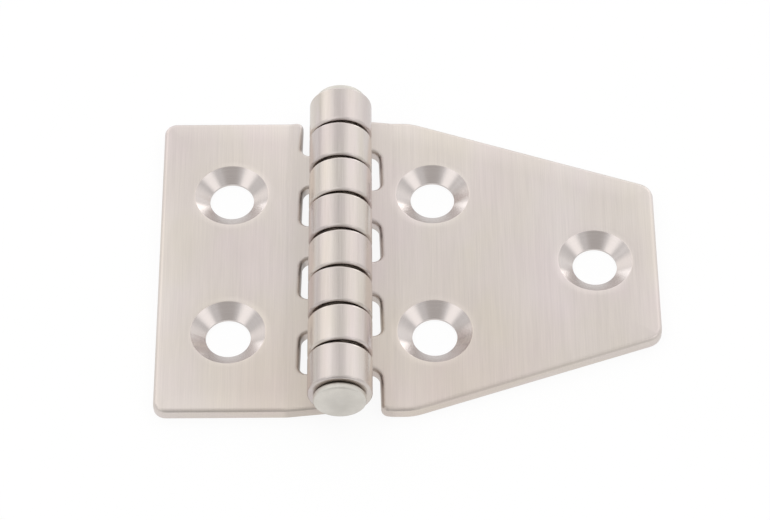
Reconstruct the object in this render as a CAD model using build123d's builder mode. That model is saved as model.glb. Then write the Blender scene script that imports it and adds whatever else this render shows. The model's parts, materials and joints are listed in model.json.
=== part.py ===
from build123d import *
from math import acos, asin, atan, atan2, cos, degrees, hypot, sin, tan
import os

# A surface hinge, lying open and flat: a rectangular leaf on the -X side, a tapered leaf
# on the +X side, and one headed pin along Y through their rolled knuckles. The leaves rest
# on Z = 0 with their countersinks upwards. Everything is drawn with the pin above X = 0 and
# moved as a whole at the end, so that the origin lies between the rectangular leaf's holes.

# Sheet and pin
sheet = 1.5
pin_r = 2.0
pin_clearance = 0.05

# Knuckles, counted from the far (+Y) end: the tapered leaf has the first, the rectangular
# leaf the next, and so on. The skew of their sides is in degrees.
hinge_length = 40.0
knuckle_count = 8
knuckle_gap = 0.35
knuckle_skew = 1.7
knuckle_lift = 0.95
seam_gap = 0.2

# Bend where each leaf rises towards its knuckles
ramp_start = 5.8
bend_r = 3.5

# Slots that leave room for the other leaf's knuckles
slot_reach = 4.4
slot_corner_r = 1.0
notch_corner_r = 0.8
roll_room = 0.05

# Leaves, measured from the pin's axis
rectangular_reach = 20.4
rectangular_corner_r = 1.4
tapered_reach = 35.6
taper_start = 8.0
tip_width = 21.0
taper_bend_r = 6.0
tip_corner_r = 2.0

# Countersunk holes. The rectangular leaf's lie at a share of the way from its bend to its
# free edge, and the tapered leaf's pair has its countersinks just clear of the bend.
hole_r = 2.5
countersink_r = 4.2
hole_land = 0.25
hole_spacing = 19.0
rectangular_holes_share = 0.445
tapered_holes_clearance = 0.18
tip_hole_from_tip = 7.0

# Pin heads
head_r = 2.9
head_thickness = 1.0
head_dome = 0.2
head_edge_r = 0.3
head_clearance = 0.1

# Softened edges: of the leaf's top and bore, of its underside and the knuckles' outside
top_edge_r = 0.5
under_edge_r = 0.3
countersink_edge_r = 0.15

# Sizes that follow from these
bore_r = pin_r + pin_clearance
knuckle_r = bore_r + sheet
axis_height = knuckle_lift + knuckle_r
knuckle_pitch = (hinge_length + knuckle_gap) / knuckle_count
knuckle_length = knuckle_pitch - knuckle_gap
tapered_knuckles = range(0, knuckle_count, 2)
rectangular_knuckles = range(1, knuckle_count, 2)
ramp_angle = atan2(axis_height, ramp_start) - asin(knuckle_r / hypot(axis_height, ramp_start))
bend_start = ramp_start + bend_r * tan(ramp_angle / 2)
rectangular_holes_x = -bend_start - rectangular_holes_share * (rectangular_reach - bend_start)
tapered_holes_x = bend_start + tapered_holes_clearance + countersink_r
tip_hole_x = tapered_reach - tip_hole_from_tip
curl_angle = 360 - degrees(acos((bore_r - seam_gap) / knuckle_r))
countersink_angle = 2 * degrees(atan((countersink_r - hole_r) / (sheet - hole_land)))
clear_of_part = 2 * hinge_length
slot_end_band = 0.2
radius_fit = 0.01


def knuckle_y(index):
    """Middle of a knuckle along the pin, the first at the far end."""
    return (hinge_length - knuckle_length) / 2 - index * knuckle_pitch


def rolled_line(side, reach, depth):
    """One surface of a rolled sheet in section, depth under its outer surface: the flat,
    the bend, the ramp and the curl round the pin. Gives the two ends."""
    turn = -side * degrees(ramp_angle)
    roll_r = knuckle_r - depth
    flat = Line((side * reach, depth), (side * bend_start, depth))
    bend = JernArc(flat @ 1, flat % 1, bend_r - depth, turn)
    tangent_point = (-side * roll_r * sin(ramp_angle), axis_height - roll_r * cos(ramp_angle))
    ramp = Line(bend @ 1, tangent_point)
    curl = JernArc(ramp @ 1, ramp % 1, roll_r, -side * curl_angle)
    return flat @ 0, curl @ 1


def rolled_sheet(side, reach):
    """Section of a leaf, from its free edge to the end of its curl."""
    with BuildSketch(Plane.XZ) as section:
        with BuildLine():
            outer_tip, outer_end = rolled_line(side, reach, 0)
            inner_tip, inner_end = rolled_line(side, reach, sheet)
            Line(outer_tip, inner_tip)
            Line(outer_end, inner_end)
        make_face()
    return section.sketch


def slots(side, mate_knuckles, reach):
    """Slots in a leaf for the other leaf's knuckles, open where they meet its ends, and
    skewed a little, opposite ways in the two leaves."""
    with BuildSketch(Plane.XY.offset(-clear_of_part / 2)) as plan:
        for index in mate_knuckles:
            half_width = knuckle_length / 2 + knuckle_gap
            low = -hinge_length if index == knuckle_count - 1 else -half_width
            high = hinge_length if index == 0 else half_width
            beyond = knuckle_r + 2 * slot_corner_r
            with Locations(Location((0, knuckle_y(index), 0), (0, 0, side * knuckle_skew))):
                with Locations((side * (reach - beyond) / 2, (low + high) / 2)):
                    RectangleRounded(reach + beyond, high - low, slot_corner_r)
    return plan.sketch


def roll_gaps(side, mate_knuckles):
    """The same slots' way through a leaf's roll, with sides straight to their full depth."""
    with BuildPart() as gaps:
        extrude(slots(side, mate_knuckles, 2 * knuckle_r), amount=clear_of_part)
        with Locations((0, 0, axis_height)):
            Cylinder(knuckle_r + roll_room, clear_of_part, rotation=(90, 0, 0), mode=Mode.INTERSECT)
    return gaps.part


def cut_holes(places):
    """Countersunk holes, open to the top of a leaf."""
    with Locations([(x, y, sheet) for x, y in places]):
        CounterSinkHole(hole_r, countersink_r, counter_sink_angle=countersink_angle)


def notch_corner(leaf, side, end):
    """Upright corner of a leaf beside the notch at one of its ends."""
    near_notch = (side * slot_reach, end * hinge_length / 2, sheet)
    return leaf.edges().filter_by(Axis.Z).sort_by_distance(near_notch)[0]


def soften(leaf, side):
    """Rounds the rims of a leaf and of its countersinks. A rim runs on from the end of a
    slot along both knuckles beside it, or round the whole leaf."""
    reach = side * slot_reach
    for low, high, radius in ((sheet, axis_height, top_edge_r), (0, sheet / 2, under_edge_r)):
        lines = leaf.edges().filter_by(GeomType.LINE).filter_by(Axis.Z, reverse=True)
        slot_ends = lines.filter_by_position(Axis.X, reach - slot_end_band, reach + slot_end_band)
        fillet(slot_ends.filter_by_position(Axis.Z, low, high), radius)
    rims = leaf.edges().filter_by(GeomType.CIRCLE)
    fillet(rims.filter_by(lambda rim: abs(rim.radius - countersink_r) < radius_fit), countersink_edge_r)


with BuildPart() as rectangular_leaf:
    extrude(rolled_sheet(-1, rectangular_reach), amount=hinge_length / 2, both=True)
    tip = rectangular_leaf.edges().filter_by(Axis.Z).group_by(Axis.X)[0]
    fillet(tip, rectangular_corner_r)
    extrude(slots(-1, tapered_knuckles, slot_reach), amount=clear_of_part, mode=Mode.SUBTRACT)
    add(roll_gaps(-1, tapered_knuckles), mode=Mode.SUBTRACT)
    fillet(notch_corner(rectangular_leaf, -1, 1), notch_corner_r)
    cut_holes([(rectangular_holes_x, y * hole_spacing / 2) for y in (-1, 1)])
    soften(rectangular_leaf, -1)
rectangular_leaf.part.label = "rectangular_leaf"

with BuildPart() as tapered_leaf:
    extrude(rolled_sheet(1, tapered_reach), amount=hinge_length / 2, both=True)
    with BuildSketch(Plane.XY.offset(-clear_of_part / 2)) as outline_plan:
        with BuildLine():
            Polyline(
                (-2 * knuckle_r, hinge_length / 2),
                (taper_start, hinge_length / 2),
                (tapered_reach, tip_width / 2),
                (tapered_reach, -tip_width / 2),
                (taper_start, -hinge_length / 2),
                (-2 * knuckle_r, -hinge_length / 2),
                close=True,
            )
        make_face()
        fillet(outline_plan.vertices().group_by(Axis.X)[-1], tip_corner_r)
        fillet(outline_plan.vertices().group_by(Axis.X)[1], taper_bend_r)
    extrude(amount=clear_of_part, mode=Mode.INTERSECT)
    extrude(slots(1, rectangular_knuckles, slot_reach), amount=clear_of_part, mode=Mode.SUBTRACT)
    add(roll_gaps(1, rectangular_knuckles), mode=Mode.SUBTRACT)
    fillet(notch_corner(tapered_leaf, 1, -1), notch_corner_r)
    cut_holes([(tapered_holes_x, y * hole_spacing / 2) for y in (-1, 1)])
    cut_holes([(tip_hole_x, 0)])
    soften(tapered_leaf, 1)
tapered_leaf.part.label = "tapered_leaf"

with BuildPart() as pin:
    head_back = hinge_length / 2 + head_clearance
    head_front = head_back + head_thickness
    with BuildSketch(Plane.YZ):
        with BuildLine():
            rim = (head_front - head_dome, axis_height + head_r)
            crown = (head_front, axis_height)
            Polyline(
                crown,
                (0, axis_height),
                (0, axis_height + pin_r),
                (head_back, axis_height + pin_r),
                (head_back, axis_height + head_r),
                rim,
            )
            TangentArc(crown, rim, tangent=(0, 1))
        half_section = make_face()
        fillet(half_section.vertices().group_by(Axis.Y)[-1], head_edge_r)
    revolve(axis=Axis((0, 0, axis_height), (0, 1, 0)))
    mirror(about=Plane.XZ)
pin.part.label = "pin"

from_pin_to_holes = Location((-rectangular_holes_x, 0, 0))
os.makedirs("parts", exist_ok=True)
for piece in (rectangular_leaf, tapered_leaf, pin):
    placed = piece.part.moved(from_pin_to_holes)
    export_step(placed, f"parts/{placed.label}.step")
    print(placed.label, "valid", placed.is_valid, "solids", len(placed.solids()))
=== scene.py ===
import json
import math

import bpy
from mathutils import Matrix, Vector


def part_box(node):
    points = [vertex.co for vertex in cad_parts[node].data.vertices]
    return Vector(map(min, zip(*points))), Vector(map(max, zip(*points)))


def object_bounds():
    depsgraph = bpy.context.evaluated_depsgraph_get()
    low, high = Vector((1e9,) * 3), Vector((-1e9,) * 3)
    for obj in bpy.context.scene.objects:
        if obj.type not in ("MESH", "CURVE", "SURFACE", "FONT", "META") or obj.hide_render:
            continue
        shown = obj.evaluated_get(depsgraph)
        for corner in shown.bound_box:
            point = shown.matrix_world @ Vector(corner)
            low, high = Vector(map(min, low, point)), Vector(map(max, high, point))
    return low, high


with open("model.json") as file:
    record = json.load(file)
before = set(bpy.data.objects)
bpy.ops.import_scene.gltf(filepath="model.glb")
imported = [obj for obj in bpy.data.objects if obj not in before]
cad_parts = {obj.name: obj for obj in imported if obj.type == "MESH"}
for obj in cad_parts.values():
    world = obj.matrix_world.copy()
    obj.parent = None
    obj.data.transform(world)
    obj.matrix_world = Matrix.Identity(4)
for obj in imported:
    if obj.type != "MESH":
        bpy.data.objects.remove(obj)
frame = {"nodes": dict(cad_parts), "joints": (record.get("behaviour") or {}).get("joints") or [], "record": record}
cad_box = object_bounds()

# A surface hinge of brushed stainless steel lies open on a pale floor, in a pale room with soft
# lights. The scene is in metres, and the materials work in millimetres on the object's own axes.
MM = 0.001
WHITE = (1, 1, 1, 1)
scene = bpy.context.scene
PIN = Vector(frame["joints"][0]["pos_m"])
MOUNTS = {mount["name"]: mount for mount in frame["record"]["mounts"]}
BOX_LOW, BOX_HIGH = (Vector(corner) / MM for corner in cad_box)

# Centres of the countersunk holes, and the sheet
LEFT_HOLES_X = MOUNTS["rectangular_leaf_screws"]["pos_m"][0] / MM
RIGHT_HOLES_X = MOUNTS["tapered_leaf_screws"]["pos_m"][0] / MM
TIP_HOLE_X = MOUNTS["tapered_leaf_tip_screw"]["pos_m"][0] / MM
PAIR_Y = MOUNTS["tapered_leaf_screws"]["dims"]["spacing_y_mm"] / 2
COUNTERSINK_R = 4.2
SHEET = 1.5

# Knuckles, pin and heads. A head's face is a shallow dome, as high as HEAD_DOME in its middle.
PIN_X, PIN_Z = PIN.x / MM, PIN.z / MM
KNUCKLE_R = BOX_HIGH.z - PIN_Z
HEAD_R, HEAD_DOME = 2.9, 0.2
HEAD_RIM_Y = BOX_HIGH.y - HEAD_DOME
DOME_R = (HEAD_R ** 2 + HEAD_DOME ** 2) / (2 * HEAD_DOME)

# Outlines of the leaves: half their length along the pin, and what is measured from its axis
HALF_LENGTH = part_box("tapered_leaf")[1][1] / MM
LEFT_REACH, RIGHT_REACH = PIN_X - BOX_LOW.x, BOX_HIGH.x - PIN_X
TAPER_START, TIP_HALF = 8.0, 10.5


class Nodes:
    """Builds one node tree. A number given for a socket is set on it, and a node's output is linked."""

    def __init__(self, tree):
        self.tree = tree
        tree.nodes.clear()

    def node(self, kind, inputs=None, **settings):
        """Adds a node. The inputs are given by the names or the numbers of its sockets."""
        made = self.tree.nodes.new(kind)
        for name, value in settings.items():
            setattr(made, name, value)
        for socket, value in (inputs or {}).items():
            if isinstance(value, bpy.types.NodeSocket):
                self.tree.links.new(value, made.inputs[socket])
            else:
                made.inputs[socket].default_value = value
        return made

    def math(self, operation, a, b=0.0, clamp=False):
        return self.node("ShaderNodeMath", {0: a, 1: b}, operation=operation, use_clamp=clamp).outputs[0]

    def chain(self, operation, first, *others):
        """One operation on two or more values in turn."""
        for other in others:
            first = self.math(operation, first, other)
        return first

    def plus(self, *values):
        return self.chain("ADD", *values)

    def minus(self, a, b):
        return self.math("SUBTRACT", a, b)

    def times(self, *values):
        return self.chain("MULTIPLY", *values)

    def least(self, *values):
        return self.chain("MINIMUM", *values)

    def abs(self, value):
        return self.math("ABSOLUTE", value)

    def invert(self, mask):
        return self.minus(1.0, mask)

    def scale(self, value, source, target, interpolation="LINEAR"):
        """Carries the range source over to the range target, and stays inside it."""
        inputs = {"Value": value, "From Min": source[0], "From Max": source[1],
                  "To Min": target[0], "To Max": target[1]}
        return self.node("ShaderNodeMapRange", inputs, interpolation_type=interpolation).outputs[0]

    def rise(self, value, low, high):
        """Goes smoothly from 0 at low to 1 at high."""
        return self.scale(value, (low, high), (0.0, 1.0), "SMOOTHSTEP")

    def fade(self, value, low, high):
        """Goes smoothly from 1 at low to 0 at high."""
        return self.invert(self.rise(value, low, high))

    def vector(self, operation, *values, output="Vector"):
        made = self.node("ShaderNodeVectorMath", dict(enumerate(values)), operation=operation)
        return made.outputs[output]

    def measure(self, operation, *values):
        """A vector operation that gives one number."""
        return self.vector(operation, *values, output="Value")

    def combine(self, x, y, z=0.0):
        return self.node("ShaderNodeCombineXYZ", {"X": x, "Y": y, "Z": z}).outputs[0]

    def separate(self, vector):
        return self.node("ShaderNodeSeparateXYZ", {"Vector": vector}).outputs

    def surface(self):
        """The point being shaded, in millimetres, and its normal, on the object's own axes."""
        coords = self.node("ShaderNodeTexCoord").outputs
        inputs = {0: coords["Object"], "Scale": 1 / MM}
        point = self.node("ShaderNodeVectorMath", inputs, operation="SCALE").outputs["Vector"]
        return point, coords["Normal"]

    def to_world(self, vector, kind):
        """Turns a VECTOR or a NORMAL from the object's own axes to the world's."""
        return self.node("ShaderNodeVectorTransform", {"Vector": vector}, vector_type=kind,
                         convert_from="OBJECT", convert_to="WORLD").outputs[0]

    def noise(self, point, detail, roughness, scale=1.0):
        inputs = {"Vector": point, "Scale": scale, "Detail": detail, "Roughness": roughness}
        return self.node("ShaderNodeTexNoise", inputs).outputs[0]

    def ramp(self, value, stops):
        """A colour that goes from stop to stop; each stop is a value and its colour."""
        made = self.node("ShaderNodeValToRGB", {"Fac": value})
        elements = made.color_ramp.elements
        for index, (at, colour) in enumerate(stops):
            element = elements[index] if index < 2 else elements.new(at)
            element.position = at
            element.color = (*colour, 1)
        return made.outputs[0]

    def mix(self, factor, a, b, blend="MIX"):
        """Colour a where factor is 0, and b where it is 1."""
        inputs = {0: factor, 6: a, 7: b}
        return self.node("ShaderNodeMix", inputs, data_type="RGBA", blend_type=blend).outputs[2]

    def blend(self, factor, a, b):
        """Vector a where factor is 0, and b where it is 1."""
        return self.node("ShaderNodeMix", {0: factor, 4: a, 5: b}, data_type="VECTOR").outputs[1]

    def tint(self, colour, by):
        """One colour times another."""
        return self.mix(1.0, colour, by, "MULTIPLY")

    def shade(self, colour, level):
        """A colour times one number."""
        return self.tint(colour, self.combine(level, level, level))

    def bump(self, height, strength=1.0, distance=MM, **normal):
        """The normal of a surface raised by height, over the Normal given."""
        inputs = {"Height": height, "Strength": strength, "Distance": distance, **normal}
        return self.node("ShaderNodeBump", inputs).outputs[0]

    def metal(self, colour, roughness, normal, **sheen):
        """Ends a material as bare metal."""
        inputs = {"Base Color": colour, "Metallic": 1.0, "Roughness": roughness, "Normal": normal, **sheen}
        shader = self.node("ShaderNodeBsdfPrincipled", inputs)
        self.node("ShaderNodeOutputMaterial", {"Surface": shader.outputs[0]})


def material(name):
    made = bpy.data.materials.new(name)
    made.use_nodes = True
    return made, Nodes(made.node_tree)


def grey(level, warm=0.0):
    """A grey with a slight warm (+) or cool (-) cast."""
    return (level * (1 + warm), level, level * (1 - warm), 1)


# Bands where one zone of a leaf gives way to the next: round a countersink, under the top, over
# the back, outside a knuckle, beside the bend and the slots' walls, and inside the leaf's ends
CONE_EDGE = (COUNTERSINK_R - 0.08, COUNTERSINK_R + 0.08)
UNDER_TOP, OVER_BACK = (0.01, 0.06), (0.02, 0.06)
ROLL_EDGE = (KNUCKLE_R + 0.05, KNUCKLE_R + 0.25)
BEND_EDGE, SLOT_WALL_EDGE = (5.5, 6.4), (5.3, 5.6)
END_EDGE = (HALF_LENGTH - 0.45, HALF_LENGTH - 0.25)

# How much of a normal points across the pin, or along it, on a sheared wall
FACING_X, FACING_Y = (0.40, 0.85), (0.45, 0.90)
KNUCKLE_WALL_SHARE = 0.3

# Relief that only the shading has: the rolled-over outline, on the faces that look up, the eased
# rim of each countersink, the fall that makes the cones look flatter, and the grain
ROLLOVER_WIDTH, ROLLOVER_DEPTH, ROLLOVER_EDGE = 3.2, 0.18, (4.0, 7.0)
LOOKING_UP = (-0.3, 0.3)
RING_WIDTH, RING_DEPTH = 0.8, 0.070
CONE_EASE = 0.062
GRAIN_BUMP = {"strength": 0.12, "distance": 0.02 * MM}

# Scratches, streaks, and slow drifts of tone and of hue for each millimetre over X, Y and Z, the
# turning marks for each millimetre outwards, and the ranges that hold most of a noise and of the
# grain. The drift of hue is taken from another place than that of tone.
SCRATCHES, STREAKS, STREAK_SHARE = (9.0, 0.16, 3.0), (2.1, 0.08, 1.0), 0.22
DRIFT, HUE_DRIFT, HUE_PLACE = (0.09, 0.05, 1.0), (0.16, 0.10, 1.0), (0.0, 0.0, 7.0)
TURNING = 11.0
NOISE, GRAIN = (0.3, 0.7), (0.25, 0.75)

# Colours of the sheet and the cones, the warm tint of the painted shade beside the near half of the
# barrel, how much yellower and lighter a roll begins as a painted reflection, and how much smoother
# it is
SHEET_TONES = [(0.0, (0.680, 0.618, 0.575)), (0.5, (0.700, 0.638, 0.600)), (1.0, (0.728, 0.670, 0.642))]
SHEET_TINTS = [(0.0, (1.000, 1.004, 0.975)), (0.5, (1.000, 1.000, 1.000)), (1.0, (1.008, 0.990, 1.020))]
CONE_COLOUR, NEAR_BARREL_SHADE_TINT = (0.606, 0.559, 0.541, 1), (0.965, 0.945, 0.905, 1)
ROLL_PAINTED_YELLOW, ROLL_PAINTED_LIGHT, ROLL_SMOOTH = 0.45, 0.045, 0.11
GRAIN_LEVELS, TURNED_LEVELS = (0.93, 1.06), (0.97, 1.03)
GRAIN_ROUGHNESS, TURNED_ROUGHNESS = (0.31, 0.39), (0.17, 0.22)
SHEEN = 0.6

# The painted shade and light beside the barrel reach full strength this far along the pin from the middle
PAINTED_BARREL_TONE_Y = 17.0

# What differs between the leaves: the side of the pin that each lies on, the distances from it
# between which the painted shade and light beside the barrel fade, how pale that painted light gets,
# how much painted shade darkens the bent parts, and how much darker the sheared walls are, partly
# as their own tone and partly as painted shade in the slots and the gaps between knuckles
LEAVES = {
    "rectangular_leaf": {"side": -1, "beside": (8.0, 17.0), "pale": 1.09, "bent_painted_shade": 0.14,
                         "sheared_tone_and_painted_shade": 0.36},
    "tapered_leaf": {"side": 1, "beside": (13.0, 30.0), "pale": 1.05, "bent_painted_shade": 0.10,
                     "sheared_tone_and_painted_shade": 0.06},
}


def hole_field(n, x, y):
    """Distance from the nearest hole's axis, and the unit direction away from it."""
    from_pair = n.times(n.minus(n.abs(y), PAIR_Y), n.math("SIGN", y))
    fields = []
    for hole_x, from_hole_y in ((LEFT_HOLES_X, from_pair), (RIGHT_HOLES_X, from_pair), (TIP_HOLE_X, y)):
        away = n.combine(n.minus(x, hole_x), from_hole_y)
        fields.append((n.measure("LENGTH", away), away))
    r, outward = fields[0]
    for other_r, other_outward in fields[1:]:
        nearer = n.math("LESS_THAN", other_r, r)
        r = n.least(r, other_r)
        outward = n.blend(nearer, outward, other_outward)
    return r, n.vector("NORMALIZE", outward)


def rim_distance(n, pin_x, y):
    """Distance inwards from the outline of either leaf."""
    from_end = n.minus(HALF_LENGTH, n.abs(y))
    run, drop = RIGHT_REACH - TAPER_START, HALF_LENGTH - TIP_HALF
    taper = math.hypot(run, drop)
    from_taper = n.plus(n.times(n.minus(TAPER_START, pin_x), drop / taper), n.times(from_end, run / taper))
    return n.least(from_end, from_taper, n.plus(pin_x, LEFT_REACH), n.minus(RIGHT_REACH, pin_x))


def sheared_and_shaded_walls(n, off_pin, y, roll, normal_x, normal_y):
    """Where the sheet was sheared: the slots' walls and, more weakly, the sides of the knuckles
    that face each other. Their darkening is partly a sheared tone and partly painted shade in the
    slots and the gaps between knuckles."""
    beside_roll = n.times(n.invert(roll), n.fade(off_pin, *SLOT_WALL_EDGE))
    slot_wall = n.times(n.rise(n.abs(normal_x), *FACING_X), beside_roll)
    knuckle_wall = n.times(n.rise(n.abs(normal_y), *FACING_Y), roll, KNUCKLE_WALL_SHARE)
    return n.times(n.math("MAXIMUM", slot_wall, knuckle_wall), n.fade(n.abs(y), *END_EDGE))


def sheet_tone(n, point, roll_reflection_flank):
    """The sheet's colour, with a slow drift of tone and hue. Each roll is yellower where it first
    rises from under the pin: a painted reflection."""
    drift = n.noise(n.vector("MULTIPLY", point, DRIFT), detail=2.0, roughness=0.5)
    tone = n.ramp(n.scale(drift, NOISE, (0.0, 1.0)), SHEET_TONES)
    hue = n.noise(n.vector("MULTIPLY_ADD", point, HUE_DRIFT, HUE_PLACE), detail=2.0, roughness=0.5)
    cast = n.math("ADD", n.scale(hue, NOISE, (0.0, 1.0)), n.times(roll_reflection_flank, -ROLL_PAINTED_YELLOW), clamp=True)
    return n.tint(tone, n.ramp(cast, SHEET_TINTS))


def paint_light_and_shade_beside_barrel(n, tone, y, share, pale):
    """Painted shade, warmer and duller, beside the near half of the barrel, and painted light, paler,
    beside the far half.
    """
    tone = n.mix(n.times(n.rise(y, 0.0, -PAINTED_BARREL_TONE_Y), share), tone, n.tint(tone, NEAR_BARREL_SHADE_TINT))
    return n.mix(n.times(n.rise(y, 0.0, PAINTED_BARREL_TONE_Y), share), tone, n.tint(tone, grey(pale)))


def top_relief(n, r, pin_x, y):
    """Height of the top: it falls away towards the outline, and a little towards each countersink."""
    from_rim = n.least(rim_distance(n, pin_x, y), ROLLOVER_WIDTH)
    at_rim = n.math("SUBTRACT", 1.0, n.math("DIVIDE", from_rim, ROLLOVER_WIDTH), clamp=True)
    rim_fall = n.times(at_rim, at_rim, n.rise(n.abs(pin_x), *ROLLOVER_EDGE), ROLLOVER_DEPTH)
    from_ring = n.math("DIVIDE", n.minus(r, COUNTERSINK_R), RING_WIDTH)
    at_ring = n.math("SUBTRACT", 1.0, from_ring, clamp=True)
    ring_fall = n.times(at_ring, at_ring, RING_DEPTH)
    return n.times(n.plus(rim_fall, ring_fall), -1.0)


def leaf_material(name, side, beside, pale, bent_painted_shade, sheared_tone_and_painted_shade):
    """Stainless sheet, brushed along the pin, with turned countersinks. The settings are a leaf's
    own, from LEAVES."""
    made, n = material(name)
    point, normal = n.surface()
    x, y, z = n.separate(point)
    normal_x, normal_y, normal_z = n.separate(normal)
    pin_x = n.minus(x, PIN_X)
    off_pin = n.abs(pin_x)

    # Where the surface is: on a countersink's cone, a rolled knuckle, the bend or a sheared wall
    r, outward = hole_field(n, x, y)
    cone = n.times(n.fade(r, *CONE_EDGE), n.rise(n.minus(SHEET, z), *UNDER_TOP), n.rise(z, *OVER_BACK))
    roll = n.fade(n.measure("LENGTH", n.combine(pin_x, 0.0, n.minus(z, PIN_Z))), *ROLL_EDGE)
    bent = n.fade(off_pin, *BEND_EDGE)
    sheared = sheared_and_shaded_walls(n, off_pin, y, roll, normal_x, normal_y)
    # How far round a roll a point lies towards where it rises from under the pin, which sets the painted
    # reflection there
    roll_reflection_flank = n.times(pin_x, -side / KNUCKLE_R, roll)

    # Brushing, and turning marks round each hole
    scratches = n.noise(n.vector("MULTIPLY", point, SCRATCHES), detail=3.0, roughness=0.62)
    streaks = n.noise(n.vector("MULTIPLY", point, STREAKS), detail=3.0, roughness=0.55)
    grain = n.plus(n.times(scratches, 1 - STREAK_SHARE), n.times(streaks, STREAK_SHARE))
    marks = {"W": n.times(r, TURNING), "Scale": 1.0, "Detail": 3.0, "Roughness": 0.6}
    turned = n.node("ShaderNodeTexNoise", marks, noise_dimensions="1D").outputs[0]

    tone = sheet_tone(n, point, roll_reflection_flank)
    # Painted shade beside the near half of the barrel, and painted light beside the far half
    tone = paint_light_and_shade_beside_barrel(n, tone, y, n.times(n.fade(off_pin, *beside), n.invert(roll)), pale)
    # Lighter on the rising flank of each roll as a painted reflection, darker at the bend as painted shade, and
    # darker on the sheared walls, partly as their own tone and partly as painted shade
    level = n.times(n.scale(grain, GRAIN, GRAIN_LEVELS), n.plus(n.times(roll_reflection_flank, ROLL_PAINTED_LIGHT), 1.0),
                    n.invert(n.times(bent, bent_painted_shade)), n.invert(n.times(sheared, sheared_tone_and_painted_shade)))
    cone_colour = n.shade(CONE_COLOUR, n.scale(turned, NOISE, TURNED_LEVELS))
    colour = n.mix(cone, n.shade(tone, level), cone_colour)

    sheet_roughness = n.minus(n.scale(grain, GRAIN, GRAIN_ROUGHNESS), n.times(roll, ROLL_SMOOTH))
    cone_roughness = n.scale(turned, NOISE, TURNED_ROUGHNESS)
    roughness = n.plus(n.times(sheet_roughness, n.invert(cone)), n.times(cone_roughness, cone))

    # The roll-over is on the faces that look up, and the cones shade as if cut a few degrees flatter
    fine = n.bump(n.plus(n.times(grain, n.invert(cone)), n.times(turned, cone)), **GRAIN_BUMP)
    rolled_over = n.bump(top_relief(n, r, pin_x, y), Normal=fine)
    flatter = n.bump(n.times(r, -CONE_EASE), Normal=fine)
    shape = n.blend(cone, n.blend(n.rise(normal_z, *LOOKING_UP), fine, rolled_over), flatter)

    # The sheen spreads across the scratches: over X on the brushed faces, outwards on the cones
    across = n.to_world(n.blend(cone, (1.0, 0.0, 0.0), outward), "VECTOR")
    n.metal(colour, roughness, shape, Anisotropic=SHEEN, Tangent=across)
    return made


# The pin's tones, the distances from its axis between which its heads grow brighter, partly as wear
# and partly as a painted highlight, and those from the axis and along it between which the face of
# a head gives way to what lies round and under it
PIN_TONES = [(0.3, (0.612, 0.586, 0.543)), (0.7, (0.686, 0.659, 0.615))]
PIN_LEVELS, PIN_ROUGHNESS = (0.96, 1.04), (0.42, 0.55)
RIM_BRIGHT_EDGE, RIM_BRIGHT_LEVELS = (0.4, 2.6), (0.96, 1.08)
FACE_EDGE, FACE_DEPTH = (2.2, 2.5), (HEAD_RIM_Y - 0.06, HEAD_RIM_Y - 0.02)
SPECK_BUMP = {"strength": 0.2, "distance": 0.03 * MM}


def pin_material():
    """Plain matte steel, brighter towards the rims of the heads, partly as wear and partly as a painted highlight.
    """
    made, n = material("matte_pin")
    point, normal = n.surface()
    x, y, z = n.separate(point)
    pin_x, pin_z = n.minus(x, PIN_X), n.minus(z, PIN_Z)
    from_axis = n.measure("LENGTH", n.combine(pin_x, 0.0, pin_z))
    specks = n.noise(point, detail=3.0, roughness=0.6, scale=7.0)
    # Brighter towards the rims of the heads: partly wear, partly a painted highlight
    rim_wear_and_highlight = n.scale(n.rise(from_axis, *RIM_BRIGHT_EDGE), (0.0, 1.0), RIM_BRIGHT_LEVELS)
    cloud = n.noise(point, detail=3.0, roughness=0.5, scale=0.55)
    colour = n.shade(n.ramp(cloud, PIN_TONES), n.times(n.scale(specks, NOISE, PIN_LEVELS), rim_wear_and_highlight))
    roughness = n.scale(specks, NOISE, PIN_ROUGHNESS)

    # The face of each head is one even dome
    dome = n.combine(n.math("DIVIDE", pin_x, DOME_R), n.math("SIGN", y), n.math("DIVIDE", pin_z, DOME_R))
    face = n.times(n.rise(n.abs(y), *FACE_DEPTH), n.fade(from_axis, *FACE_EDGE))
    form = n.to_world(n.blend(face, normal, n.vector("NORMALIZE", dome)), "NORMAL")
    n.metal(colour, roughness, n.bump(specks, Normal=form, **SPECK_BUMP))
    return made


# The floor's paper, and its glow: its strength, and its share for the camera and in reflections
PAPER_TONES = [(0.3, (0.90, 0.90, 0.90)), (0.7, (0.92, 0.92, 0.92))]
GLOW, GLOW_SEEN, GLOW_REFLECTED = 1.02, 0.88, 0.75


def floor_material():
    """Pale paper that also glows a little for the camera and for reflections."""
    made, n = material("pale_floor")
    mottle = n.noise(n.node("ShaderNodeTexCoord").outputs["Object"], detail=3.0, roughness=0.5, scale=60.0)
    diffuse = n.node("ShaderNodeBsdfDiffuse", {"Color": n.ramp(mottle, PAPER_TONES)})
    glow = n.node("ShaderNodeEmission", {"Color": WHITE, "Strength": GLOW})
    ray = n.node("ShaderNodeLightPath").outputs
    glowing = n.plus(n.times(ray["Is Camera Ray"], GLOW_SEEN), n.times(ray["Is Glossy Ray"], GLOW_REFLECTED))
    both = n.node("ShaderNodeMixShader", {0: glowing, 1: diffuse.outputs[0], 2: glow.outputs[0]})
    n.node("ShaderNodeOutputMaterial", {"Surface": both.outputs[0]})
    return made


def add_floor(half_size=1.5, drop=0.02 * MM):
    """A flat square just under the part."""
    corners = [(x * half_size, y * half_size, -drop) for x, y in ((-1, -1), (1, -1), (1, 1), (-1, 1))]
    mesh = bpy.data.meshes.new("floor")
    mesh.from_pydata(corners, [], [(0, 1, 2, 3)])
    mesh.materials.append(floor_material())
    placed = bpy.data.objects.new("floor", mesh)
    scene.collection.objects.link(placed)
    return placed


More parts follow.
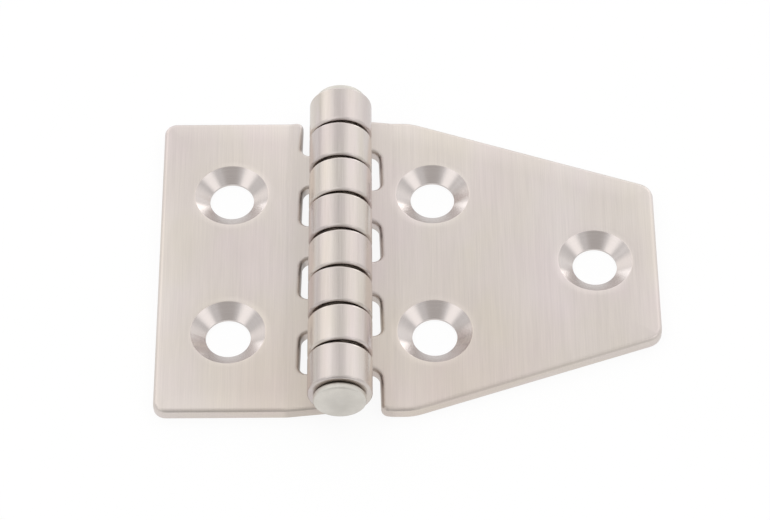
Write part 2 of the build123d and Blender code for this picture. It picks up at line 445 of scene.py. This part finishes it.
# The room's level, and its soft lights and darker patches: the direction of each, the angles from
# it in degrees where it is full and where it ends, and its level
ROOM = grey(0.83)
PATCHES = (
    ((-0.660, 0.588, 0.468), 5, 22, grey(1.30, 0.02)),
    ((0.560, 0.588, 0.580), 9, 27, grey(1.26, 0.01)),
    ((-0.220, 0.588, 0.778), 4, 14, grey(0.72)),
    ((0.790, 0.588, 0.160), 5, 16, grey(1.14)),
    ((-0.505, 0.860, 0.080), 5, 15, grey(1.95)),
    ((0.489, 0.870, 0.064), 5, 15, grey(2.60, 0.01)),
    ((-0.600, -0.266, 0.757), 5, 18, grey(1.50, 0.01)),
    ((0.690, -0.150, 0.708), 5, 18, grey(1.50, 0.01)),
    ((0.000, 0.940, 0.340), 12, 36, grey(1.14)),
    ((0.000, -1.000, 0.060), 8, 24, grey(0.30)),
    ((0.000, -0.880, 0.470), 8, 22, grey(0.42)),
    ((0.000, -0.588, 0.809), 12, 24, (0.610, 0.595, 0.580, 1)),
)


def add_room():
    """The world: the room for everything but the camera, which sees plain white."""
    world = bpy.data.worlds.new("studio")
    world.use_nodes = True
    n = Nodes(world.node_tree)
    toward = n.node("ShaderNodeTexCoord").outputs["Generated"]
    room = ROOM
    for direction, full, end, level in PATCHES:
        nearness = n.measure("DOT_PRODUCT", toward, Vector(direction).normalized())
        patch = n.rise(nearness, math.cos(math.radians(end)), math.cos(math.radians(full)))
        room = n.mix(patch, room, level)
    light = n.node("ShaderNodeBackground", {"Color": room, "Strength": 1.0})
    backdrop = n.node("ShaderNodeBackground", {"Color": WHITE, "Strength": 1.0})
    seen = n.node("ShaderNodeLightPath").outputs["Is Camera Ray"]
    both = n.node("ShaderNodeMixShader", {0: seen, 1: light.outputs[0], 2: backdrop.outputs[0]})
    n.node("ShaderNodeOutputWorld", {"Surface": both.outputs[0]})
    scene.world = world


def add_key_lamp(from_pin=(-0.16, 0.12, 0.36), size=0.30, energy=0.10):
    """A soft lamp above the far left, turned to the pin."""
    lamp = bpy.data.lights.new("key", "AREA")
    lamp.shape = "RECTANGLE"
    lamp.size, lamp.size_y = size, size
    lamp.energy = energy
    placed = bpy.data.objects.new("key", lamp)
    placed.location = PIN + Vector(from_pin)
    placed.rotation_mode = "QUATERNION"
    placed.rotation_quaternion = (placed.location - PIN).to_track_quat("Z", "Y")
    scene.collection.objects.link(placed)


# The camera: its angles, its distance along the view from the floor under the pin, how far right of
# the view's middle that place lies and how far above it, and the focal length in pixels, for a
# picture and a sensor so wide
ELEVATION, YAW, ROLL = math.radians(53.95), math.radians(0.150), math.radians(0.227)
DISTANCE, ACROSS, UP = 351.28 * MM, -4.981 * MM, -1.061 * MM
FOCAL_PX, FRAME_PX, SENSOR_MM = 3117.1, 770, 36.0


def add_camera():
    """A long lens that looks down from the front."""
    flat_forward = Vector((math.sin(YAW), math.cos(YAW), 0))
    right = Vector((math.cos(YAW), -math.sin(YAW), 0))
    forward = flat_forward * math.cos(ELEVATION) - Vector((0, 0, math.sin(ELEVATION)))
    up = right.cross(forward)
    pin_foot = Vector((PIN.x, PIN.y, 0))
    place = pin_foot - right * ACROSS - up * UP - forward * DISTANCE
    view_right = right * math.cos(ROLL) - up * math.sin(ROLL)
    view_up = right * math.sin(ROLL) + up * math.cos(ROLL)
    lens = bpy.data.cameras.new("camera")
    lens.sensor_width = SENSOR_MM
    lens.lens = FOCAL_PX * SENSOR_MM / FRAME_PX
    lens.clip_start, lens.clip_end = 0.01, 10
    camera = bpy.data.objects.new("camera", lens)
    turn = Matrix((view_right, view_up, -forward)).transposed()
    camera.matrix_world = Matrix.Translation(place) @ turn.to_4x4()
    scene.collection.objects.link(camera)
    scene.camera = camera


finishes = {node: leaf_material(f"brushed_{node}", **look) for node, look in LEAVES.items()}
finishes["pin"] = pin_material()
for node, finish in finishes.items():
    obj = frame["nodes"][node]
    obj.data.materials.clear()
    obj.data.materials.append(finish)

floor = add_floor()
add_room()
add_key_lamp()
add_camera()
scene.view_settings.view_transform = "Standard"
